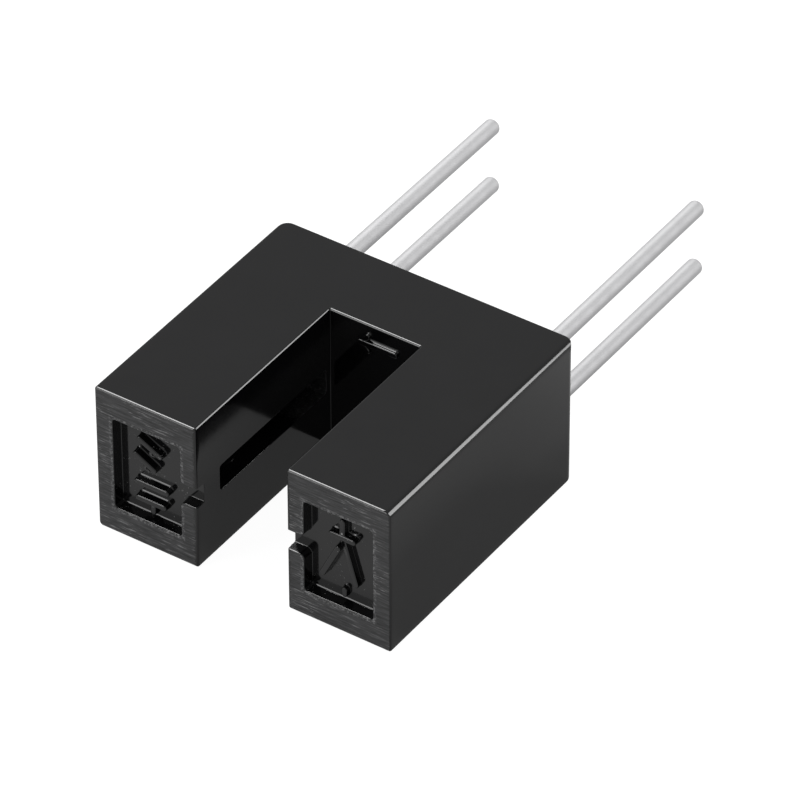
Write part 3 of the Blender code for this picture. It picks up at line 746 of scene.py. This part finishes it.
def clear_cast_epoxy():
    """Clear epoxy, transfer moulded against a polished lens pin: water clear with a cool cast, faintly
    cloudy from flow, glossy all over."""
    material, tree, shader, place = start_material("clear_epoxy_transfer_moulded")
    flow = add(tree, "ShaderNodeTexNoise", None, {
        "Vector": place, "Scale": 1.3, "Detail": 2.0, "Distortion": 0.8})
    tone = add(tree, "ShaderNodeMix", {"data_type": "RGBA"}, {
        0: flow.outputs[0], 6: linear("#e4ecf2"), 7: linear("#f4f8fa")})
    rough = add(tree, "ShaderNodeMapRange", None, {
        "Value": flow.outputs[0], "To Min": 0.02, "To Max": 0.08})
    relief = add(tree, "ShaderNodeBump", None, {
        "Height": flow.outputs[0], "Strength": 0.5, "Distance": 0.000002})
    tree.links.new(tone.outputs[2], shader.inputs["Base Color"])
    tree.links.new(rough.outputs[0], shader.inputs["Roughness"])
    tree.links.new(relief.outputs[0], shader.inputs["Normal"])
    shader.inputs["Transmission Weight"].default_value = 0.96
    shader.inputs["IOR"].default_value = 1.54
    return material


def daylight_filter_epoxy():
    """Epoxy dyed to pass infrared only, moulded like the clear one: nearly black with a dull wine cast in
    the thin places, and the same gloss."""
    material, tree, shader, place = start_material("dark_epoxy_transfer_moulded")
    flow = add(tree, "ShaderNodeTexNoise", None, {
        "Vector": place, "Scale": 1.3, "Detail": 2.0, "Distortion": 0.8})
    tone = add(tree, "ShaderNodeMix", {"data_type": "RGBA"}, {
        0: flow.outputs[0], 6: linear("#120d12"), 7: linear("#1c1219")})
    rough = add(tree, "ShaderNodeMapRange", None, {
        "Value": flow.outputs[0], "To Min": 0.06, "To Max": 0.14})
    relief = add(tree, "ShaderNodeBump", None, {
        "Height": flow.outputs[0], "Strength": 0.5, "Distance": 0.000002})
    tree.links.new(tone.outputs[2], shader.inputs["Base Color"])
    tree.links.new(rough.outputs[0], shader.inputs["Roughness"])
    tree.links.new(relief.outputs[0], shader.inputs["Normal"])
    shader.inputs["IOR"].default_value = 1.54
    return material


def poured_black_epoxy():
    """Black potting epoxy, poured and left to level: semi-gloss skin with dust nibs and small pits where
    bubbles broke."""
    material, tree, shader, place = start_material("black_epoxy_poured")
    cloud = add(tree, "ShaderNodeTexNoise", None, {"Vector": place, "Scale": 2.0, "Detail": 4.0})
    pits = add(tree, "ShaderNodeTexVoronoi", None, {"Vector": place, "Scale": 2.4, "Randomness": 1.0})
    pit = add(tree, "ShaderNodeMapRange", None, {"Value": pits.outputs["Distance"], "From Max": 0.16})
    tone = add(tree, "ShaderNodeMix", {"data_type": "RGBA"}, {
        0: cloud.outputs[0], 6: linear("#131314"), 7: linear("#1d1d1e")})
    rough = add(tree, "ShaderNodeMapRange", None, {
        "Value": cloud.outputs[0], "To Min": 0.22, "To Max": 0.42})
    height = add(tree, "ShaderNodeMath", {"operation": "MULTIPLY_ADD"}, {
        0: cloud.outputs[0], 1: 0.4, 2: pit.outputs[0]})
    relief = add(tree, "ShaderNodeBump", None, {
        "Height": height.outputs[0], "Strength": 0.7, "Distance": 0.00002})
    tree.links.new(tone.outputs[2], shader.inputs["Base Color"])
    tree.links.new(rough.outputs[0], shader.inputs["Roughness"])
    tree.links.new(relief.outputs[0], shader.inputs["Normal"])
    return material


def polished_chip(name, contact_radius, side):
    """Semiconductor, polished and sawn: dark blue-grey with a mirror top and a pale round contact in its
    middle."""
    material, tree, shader, place = start_material(name)
    centre = on_side(np.array([LEAD_OUT, BEAM_ALONG, 0.0]), side)
    from_centre = add(tree, "ShaderNodeMapping", None, {
        "Vector": place, "Location": (0, -centre[1], -centre[2]), "Scale": (0, 1, 1)})
    distance = add(tree, "ShaderNodeVectorMath", {"operation": "LENGTH"}, {0: from_centre.outputs[0]})
    contact = add(tree, "ShaderNodeMapRange", None, {
        "Value": distance.outputs["Value"], "From Min": contact_radius, "From Max": contact_radius * 1.1,
        "To Min": 1.0, "To Max": 0.0})
    speckle = add(tree, "ShaderNodeTexNoise", None, {"Vector": place, "Scale": 30.0, "Detail": 3.0})
    ground = add(tree, "ShaderNodeMix", {"data_type": "RGBA"}, {
        0: speckle.outputs[0], 6: linear("#4a4a58"), 7: linear("#5d5c6c")})
    tone = add(tree, "ShaderNodeMix", {"data_type": "RGBA"}, {
        0: contact.outputs[0], 6: ground.outputs[2], 7: linear("#d9c48a")})
    rough = add(tree, "ShaderNodeMapRange", None, {
        "Value": speckle.outputs[0], "To Min": 0.12, "To Max": 0.3})
    tree.links.new(tone.outputs[2], shader.inputs["Base Color"])
    tree.links.new(rough.outputs[0], shader.inputs["Roughness"])
    shader.inputs["Metallic"].default_value = 0.7
    return material


def drawn_gold_wire():
    """Gold wire, drawn fine and bonded: warm yellow metal with a slight satin from the die."""
    material, tree, shader, place = start_material("gold_wire_drawn")
    satin = add(tree, "ShaderNodeTexNoise", None, {"Vector": place, "Scale": 60.0, "Detail": 2.0})
    tone = add(tree, "ShaderNodeMix", {"data_type": "RGBA"}, {
        0: satin.outputs[0], 6: linear("#f2cf73"), 7: linear("#e2b455")})
    rough = add(tree, "ShaderNodeMapRange", None, {
        "Value": satin.outputs[0], "To Min": 0.18, "To Max": 0.32})
    tree.links.new(tone.outputs[2], shader.inputs["Base Color"])
    tree.links.new(rough.outputs[0], shader.inputs["Roughness"])
    shader.inputs["Metallic"].default_value = 1.0
    return material


# Studio

FLOOR_HALF = 600.0
FLOOR_SHADED = 0.16
FLOOR_CAMERA_GLOW = 0.95
FLOOR_MIRRORED = 0.205
FLOOR_MIRRORED_IN_FRONT = 0.275
FLOOR_MIRRORED_BEHIND = 0.25
WORLD_HORIZON = 0.62
WORLD_ABOVE = 0.47
# Where the floor's mirrored light fades: from and to, after the arm ends, and in Y
FRONT_FADE = (-2.5, 1.5)
BACK_FADE = (1.0, 9.0)

SOFTBOX_DISTANCE = 300.0
# Strip lights that the front edges mirror: highest and lowest lean from straight up in degrees, and level
FRONT_STRIPS = ((28, -13, 14.0), (-44, -84, 4.4))
FRONT_STRIP_WIDTH = 72
STRIP_SIDEWAYS = -0.447
STRIP_FORWARD = 0.894
RIM_DIRECTION = (0.69, 0.62, 0.38)
RIM_LONG_AXIS = (0.5, 0, -0.87)
RIM_WIDTH = 42
RIM_LENGTH = 250
RIM_LEVEL = 8.0

CAMERA_AZIMUTH = 34.19957
CAMERA_ELEVATION = 38.72089
CAMERA_ROLL = -0.14506
CAMERA_FOCAL = 7113.74
CAMERA_PLACE = (106.388, -157.971, 153.584)
PICTURE_WIDTH = 800
SENSOR_WIDTH = 36.0


def paper_floor():
    """White paper sweep: a matt pale floor that keeps the shadow, shown white to the camera. What gloss
    mirrors of it is brighter in front of the arm ends and behind the housing, out of the housing's shade."""
    material = bpy.data.materials.new("white_paper_sweep")
    material.use_nodes = True
    tree = material.node_tree
    tree.nodes.clear()
    path = add(tree, "ShaderNodeLightPath")
    direct = add(tree, "ShaderNodeMath", {"operation": "MAXIMUM"}, {
        0: path.outputs["Is Camera Ray"], 1: path.outputs["Is Transmission Ray"]})
    seen = add(tree, "ShaderNodeMath", {"operation": "MULTIPLY"}, {
        0: direct.outputs[0], 1: FLOOR_CAMERA_GLOW})
    place = add(tree, "ShaderNodeTexCoord")
    split = add(tree, "ShaderNodeSeparateXYZ", None, {0: place.outputs["Object"]})
    in_front = add(tree, "ShaderNodeMapRange", {"interpolation_type": "SMOOTHSTEP"}, {
        "Value": split.outputs[1], "From Min": (ARM_END_Y + FRONT_FADE[0]) / MM,
        "From Max": (ARM_END_Y + FRONT_FADE[1]) / MM,
        "To Min": FLOOR_MIRRORED_IN_FRONT, "To Max": 0.0})
    behind = add(tree, "ShaderNodeMapRange", {"interpolation_type": "SMOOTHSTEP"}, {
        "Value": split.outputs[1], "From Min": BACK_FADE[0] / MM, "From Max": BACK_FADE[1] / MM,
        "To Min": FLOOR_MIRRORED, "To Max": FLOOR_MIRRORED + FLOOR_MIRRORED_BEHIND})
    mirrored = add(tree, "ShaderNodeMath", None, {0: in_front.outputs[0], 1: behind.outputs[0]})
    glow = add(tree, "ShaderNodeMath", {"operation": "MULTIPLY_ADD"}, {
        0: path.outputs["Is Glossy Ray"], 1: mirrored.outputs[0], 2: seen.outputs[0]})
    shade = (FLOOR_SHADED, FLOOR_SHADED, FLOOR_SHADED, 1.0)
    paper = add(tree, "ShaderNodeBsdfDiffuse", None, {"Color": shade})
    light = add(tree, "ShaderNodeEmission", None, {"Strength": glow.outputs[0]})
    both = add(tree, "ShaderNodeAddShader", None, {0: paper.outputs[0], 1: light.outputs[0]})
    add(tree, "ShaderNodeOutputMaterial", None, {"Surface": both.outputs[0]})
    corners = np.array([[-1, -1, 0], [1, -1, 0], [1, 1, 0], [-1, 1, 0]]) * FLOOR_HALF / MM
    mesh = bpy.data.meshes.new("paper_floor")
    mesh.from_pydata(corners.tolist(), [], [(0, 1, 2, 3)])
    floor = bpy.data.objects.new("paper_floor", mesh)
    floor.data.materials.append(material)
    bpy.context.scene.collection.objects.link(floor)


def white_room():
    """The surroundings: white to the camera and through clear epoxy, paler at the horizon than above."""
    world = bpy.data.worlds.new("white_room")
    bpy.context.scene.world = world
    world.use_nodes = True
    tree = world.node_tree
    tree.nodes.clear()
    path = add(tree, "ShaderNodeLightPath")
    direction = add(tree, "ShaderNodeTexCoord")
    split = add(tree, "ShaderNodeSeparateXYZ", None, {0: direction.outputs["Generated"]})
    level = add(tree, "ShaderNodeMapRange", None, {
        "Value": split.outputs[2], "From Min": 0.05, "From Max": 0.6, "To Min": WORLD_HORIZON,
        "To Max": WORLD_ABOVE})
    direct = add(tree, "ShaderNodeMath", {"operation": "MAXIMUM"}, {
        0: path.outputs["Is Camera Ray"], 1: path.outputs["Is Transmission Ray"]})
    strength = add(tree, "ShaderNodeMix", None, {0: direct.outputs[0], 2: level.outputs[0], 3: 1.0})
    sky = add(tree, "ShaderNodeBackground", None, {"Color": (1, 1, 1, 1), "Strength": strength.outputs[0]})
    add(tree, "ShaderNodeOutputWorld", None, {"Surface": sky.outputs[0]})


def softbox(name, direction, width, length, level, long_axis):
    """A rectangular softbox that faces the part, its long side near the given axis."""
    back = np.array(direction) / np.linalg.norm(direction)
    side = np.array(long_axis) - back * np.dot(long_axis, back)
    side /= np.linalg.norm(side)
    lamp = bpy.data.lights.new(name, "AREA")
    lamp.shape = "RECTANGLE"
    lamp.size = width / MM
    lamp.size_y = length / MM
    lamp.energy = level * math.pi * width * length / MM ** 2
    thing = bpy.data.objects.new(name, lamp)
    turn = np.stack([np.cross(side, back), side, back], 1)
    thing.matrix_world = Matrix(np.vstack([np.hstack([turn, back[:, None] * SOFTBOX_DISTANCE / MM]), [0, 0,
        0, 1]]).tolist())
    bpy.context.scene.collection.objects.link(thing)


def make_camera():
    """The camera at the photograph's angle and distance."""
    azimuth, elevation, roll = (math.radians(a) for a in (CAMERA_AZIMUTH, CAMERA_ELEVATION, CAMERA_ROLL))
    back = np.array([
        math.sin(azimuth) * math.cos(elevation), -math.cos(azimuth) * math.cos(elevation),
        math.sin(elevation)])
    right = np.array([math.cos(azimuth), math.sin(azimuth), 0])
    up = np.cross(back, right)
    rolled_right = math.cos(roll) * right + math.sin(roll) * up
    rolled_up = math.cos(roll) * up - math.sin(roll) * right
    turn = np.stack([rolled_right, rolled_up, back], 1)
    place = np.array(CAMERA_PLACE) / MM
    lens = bpy.data.cameras.new("camera")
    lens.sensor_width = SENSOR_WIDTH
    lens.lens = CAMERA_FOCAL * SENSOR_WIDTH / PICTURE_WIDTH
    lens.clip_start = 0.01
    camera = bpy.data.objects.new("camera", lens)
    camera.matrix_world = Matrix(np.vstack([np.hstack([turn, place[:, None]]), [0, 0, 0, 1]]).tolist())
    bpy.context.scene.collection.objects.link(camera)
    bpy.context.scene.camera = camera


def main():
    tin = tinned_copper_wire()
    gold = drawn_gold_wire()
    pour = poured_black_epoxy()
    make_housing(black_moulded_plastic())

    post_inner = -LEAD_UP + POST_WIDTH / 2
    pad = (LEAD_UP, post_inner + HEAD_GAP, LEAD_UP + LEAD_RADIUS, PAD_LENGTH)
    post = (-LEAD_UP, -LEAD_UP - POST_WIDTH / 2, post_inner, POST_LENGTH)
    sides = {
        "emitter": (1, "emitter_cathode_lead", "emitter_anode_lead", *EMITTER_CHIP, clear_cast_epoxy()),
        "detector": (
            -1, "detector_collector_lead", "detector_emitter_lead", *DETECTOR_CHIP,
            daylight_filter_epoxy()),
    }
    for side_name, (side, pad_name, post_name, size, height, epoxy) in sides.items():
        make_lead(pad_name, side, *pad, tin)
        make_lead(post_name, side, *post, tin)
        make_package(f"{side_name}_package", side, epoxy)
        die = polished_chip(f"{side_name}_chip_polished", size * CONTACT_SHARE, side)
        make_chip(f"{side_name}_chip", side, size, height, die)
        make_bond_wire(f"{side_name}_bond_wire", side, height, gold)
        make_seal(f"{side_name}_seal", side, pour)

    paper_floor()
    white_room()
    for k, (top, low, level) in enumerate(FRONT_STRIPS):
        lean, reach = math.radians((top + low) / 2), math.radians((top - low) / 2)
        over, along = math.cos(lean), math.sin(lean)
        direction = (STRIP_SIDEWAYS, STRIP_FORWARD * along, STRIP_FORWARD * over)
        length = 2 * SOFTBOX_DISTANCE * math.tan(reach)
        softbox(f"front_softbox_{k}", direction, FRONT_STRIP_WIDTH, length, level, (0, over, -along))
    softbox("rim_softbox", RIM_DIRECTION, RIM_WIDTH, RIM_LENGTH, RIM_LEVEL, RIM_LONG_AXIS)
    make_camera()
    bpy.context.scene.view_settings.view_transform = "Standard"


main()
